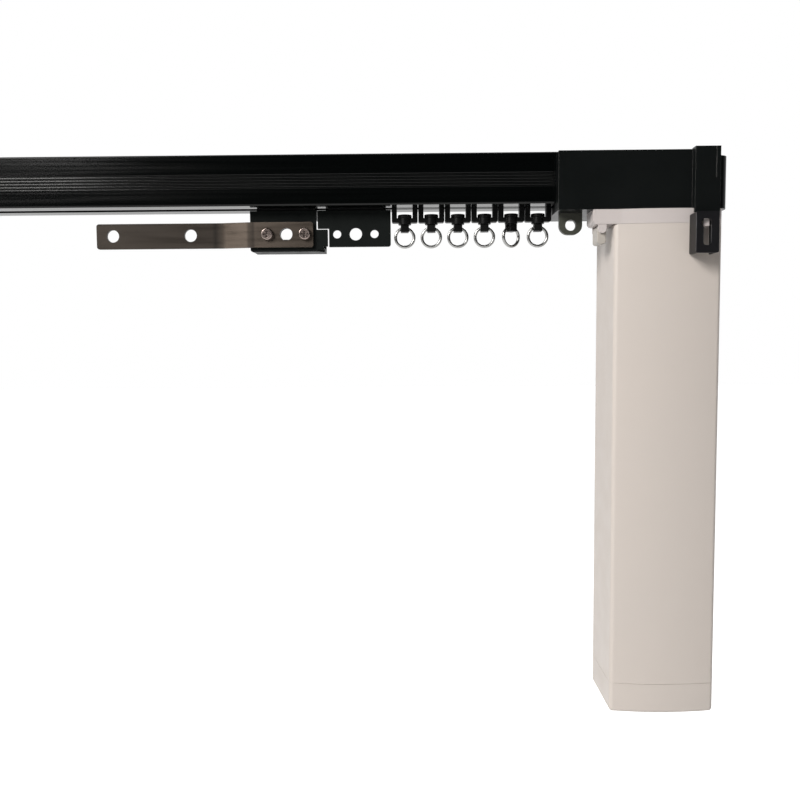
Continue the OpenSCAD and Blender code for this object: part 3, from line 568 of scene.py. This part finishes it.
def painted_black():
    """Thin matt black paint on sheet steel."""
    black = Finish("hanger_black", (0.0065, 0.008, 0.0076), roughness=0.4, specular=0.06)
    black.vary_roughness(black.noise(scale=120.0, detail=2.0), low=0.36, high=0.48)
    black.bump(black.noise(scale=1500.0, detail=1.0), depth=0.004 * MM)
    return black.material


hanger_black = painted_black()
wheel_nylon = plain_finish("wheel_nylon", (0.72, 0.71, 0.67), roughness=0.42)
for side in "ab":
    dress("carriage_" + side, soft_black, radius=0.25 * MM)
    dress("hanger_" + side, hanger_black, radius=0.3 * MM, segments=3)
    paint("belt_clamp_" + side, soft_black)
    for axle in "12":
        paint("wheels_" + side + axle, wheel_nylon)

# Overlap arm
# A flat steel strip with a joggle and two holes, plated in a brownish tone, screwed to the leading hanger.
# Two pan-head cross screws hold it; its free end reaches past the middle of a pair of curtains.
ARM_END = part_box("overlap_arm")[1].x
# How dark the painted shade in the middle of each bend is.
BEND_PAINTED_SHADE = 0.5


class Bend:
    """A bend of the arm: its place along the rail, its width, and the painted light, as factors on the
    colour, to its left and right.
    """

    def __init__(self, place, width, left_painted_light, right_painted_light):
        self.place = place
        self.across = (width / 2, width)
        self.along = (place - width / 2, place + width / 2)
        self.left_painted_light = left_painted_light
        self.right_painted_light = right_painted_light


# Each bend's factors paint light: the flat left of the first bend is darkened, and the slope between the
# bends is lightened.
ARM_BENDS = (
    Bend(ARM_END - 52.0 * MM, 4.0 * MM, left_painted_light=0.41, right_painted_light=1.47),
    Bend(ARM_END - 34.2 * MM, 2.6 * MM, left_painted_light=1.0, right_painted_light=0.637),
)


def plated_steel_painted_light():
    """Brownish plating drawn along the strip, with painted shade in the bends and on the flat left of them,
    and a painted highlight on the slope between the bends.
    """
    plate = Finish("arm_plated", (0.0615, 0.048, 0.038), roughness=0.34, metallic=0.75)
    clouds = plate.noise(scale=60.0, detail=4.0, stretch=(0.5, 1.0, 1.0))
    plated_and_painted_light = plate.vary_colour(clouds, (0.0765, 0.061, 0.049), amount=0.9)
    split = plate.tree.nodes.new("ShaderNodeSeparateXYZ")
    plate.tree.links.new(plate.place, split.inputs[0])
    along = split.outputs["X"]
    # Painted shade in each bend, and painted light on the flat and the slope on either side of it.
    for bend in ARM_BENDS:
        away = calculate(plate.tree, "ABSOLUTE", calculate(plate.tree, "SUBTRACT", along, bend.place))
        plated_and_painted_light = plate.toned(plated_and_painted_light, rescale(plate.tree, away, bend.across, BEND_PAINTED_SHADE, 1.0))
        plated_and_painted_light = plate.toned(plated_and_painted_light, rescale(plate.tree, along, bend.along, bend.left_painted_light, bend.right_painted_light))
    plate.tree.links.new(plated_and_painted_light, plate.shader["Base Color"])
    brushed = plate.noise(scale=500.0, stretch=(0.05, 1.0, 1.0))
    plate.vary_roughness(brushed, low=0.3, high=0.46)
    scratches = plate.noise(scale=1600.0, detail=2.0, stretch=(0.04, 1.0, 1.0))
    plate.bump(scratches, depth=0.012 * MM)
    return plate.material


dress("overlap_arm", plated_steel_painted_light(), radius=0.3 * MM, segments=3)
SCREW_HEAD = 3.2 * MM
SCREW_RIM = 0.85 * SCREW_HEAD
SCREW_FRONT = 0.05 * MM
screw_low, screw_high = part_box("arm_screws")


def head_rim(edge):
    """True for an edge of a screw head's front rim."""
    axis_z = (screw_low.z + screw_high.z) / 2
    for v in edge.verts:
        off = min(abs(v.co.x - screw_low.x - SCREW_HEAD), abs(v.co.x - screw_high.x + SCREW_HEAD))
        if v.co.y > screw_low.y + SCREW_FRONT or math.hypot(off, v.co.z - axis_z) < SCREW_RIM:
            return False
    return True


screws = dress("arm_screws", steel, radius=0.1 * MM, soft=head_rim, soft_radius=1.0 * MM)

# Gliders
# Small black nylon frames hang through the rail's slot from twin wheels; a swivel turns in each frame's boss.
# A plain steel wire ring hangs in every swivel's eye and takes a curtain hook.
WIRE = 0.85 * MM
WIRE_SIDES = 14
RING_STEPS = 56


def ring_wire():
    """Bright steel wire with faint marks from drawing."""
    wire = Finish("ring_steel", (0.3, 0.3, 0.295), roughness=0.24, metallic=1.0)
    wire.vary_roughness(wire.noise(scale=900.0), low=0.18, high=0.36)
    return wire.material


def wire_ring(node, material):
    """A round wire bent to a closed ring, in the plane in which the CAD ring hangs."""
    source = frame["nodes"][node]
    low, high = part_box(node)
    middle = (low + high) / 2
    far = max((v.co - middle for v in source.data.vertices), key=lambda d: math.hypot(d.x, d.y))
    bend = (high.z - low.z) / 2 - WIRE
    stand = Matrix.Rotation(math.pi / 2, 4, "X")
    turn = Matrix.Rotation(math.atan2(far.y, far.x), 4, "Z")
    bm = bmesh.new()
    section = Matrix.Translation((bend, 0.0, 0.0)) @ stand
    bmesh.ops.create_circle(bm, segments=WIRE_SIDES, radius=WIRE, matrix=section)
    bmesh.ops.spin(
        bm,
        geom=bm.edges[:],
        cent=(0.0, 0.0, 0.0),
        axis=(0.0, 0.0, 1.0),
        angle=2 * math.pi,
        steps=RING_STEPS,
        use_merge=True,
    )
    bmesh.ops.recalc_face_normals(bm, faces=bm.faces)
    bmesh.ops.transform(bm, matrix=Matrix.Translation(middle) @ turn @ stand, verts=bm.verts)
    for face in bm.faces:
        face.smooth = True
    mesh = bpy.data.meshes.new(node + "_shape")
    bm.to_mesh(mesh)
    bm.free()
    mesh.materials.append(material)
    piece = bpy.data.objects.new(mesh.name, mesh)
    scene.collection.objects.link(piece)
    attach(piece, source["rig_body"])
    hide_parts(node)
    return piece


ring_steel = ring_wire()
GLIDERS = sum(1 for name in frame["nodes"] if name.startswith("glider_frame_"))
for i in range(1, GLIDERS + 1):
    dress(f"glider_frame_{i}", soft_black, radius=0.3 * MM)
    dress(f"swivel_{i}", soft_black, radius=0.3 * MM)
    paint(f"glider_wheels_{i}", wheel_nylon)
    wire_ring(f"ring_{i}", ring_steel)
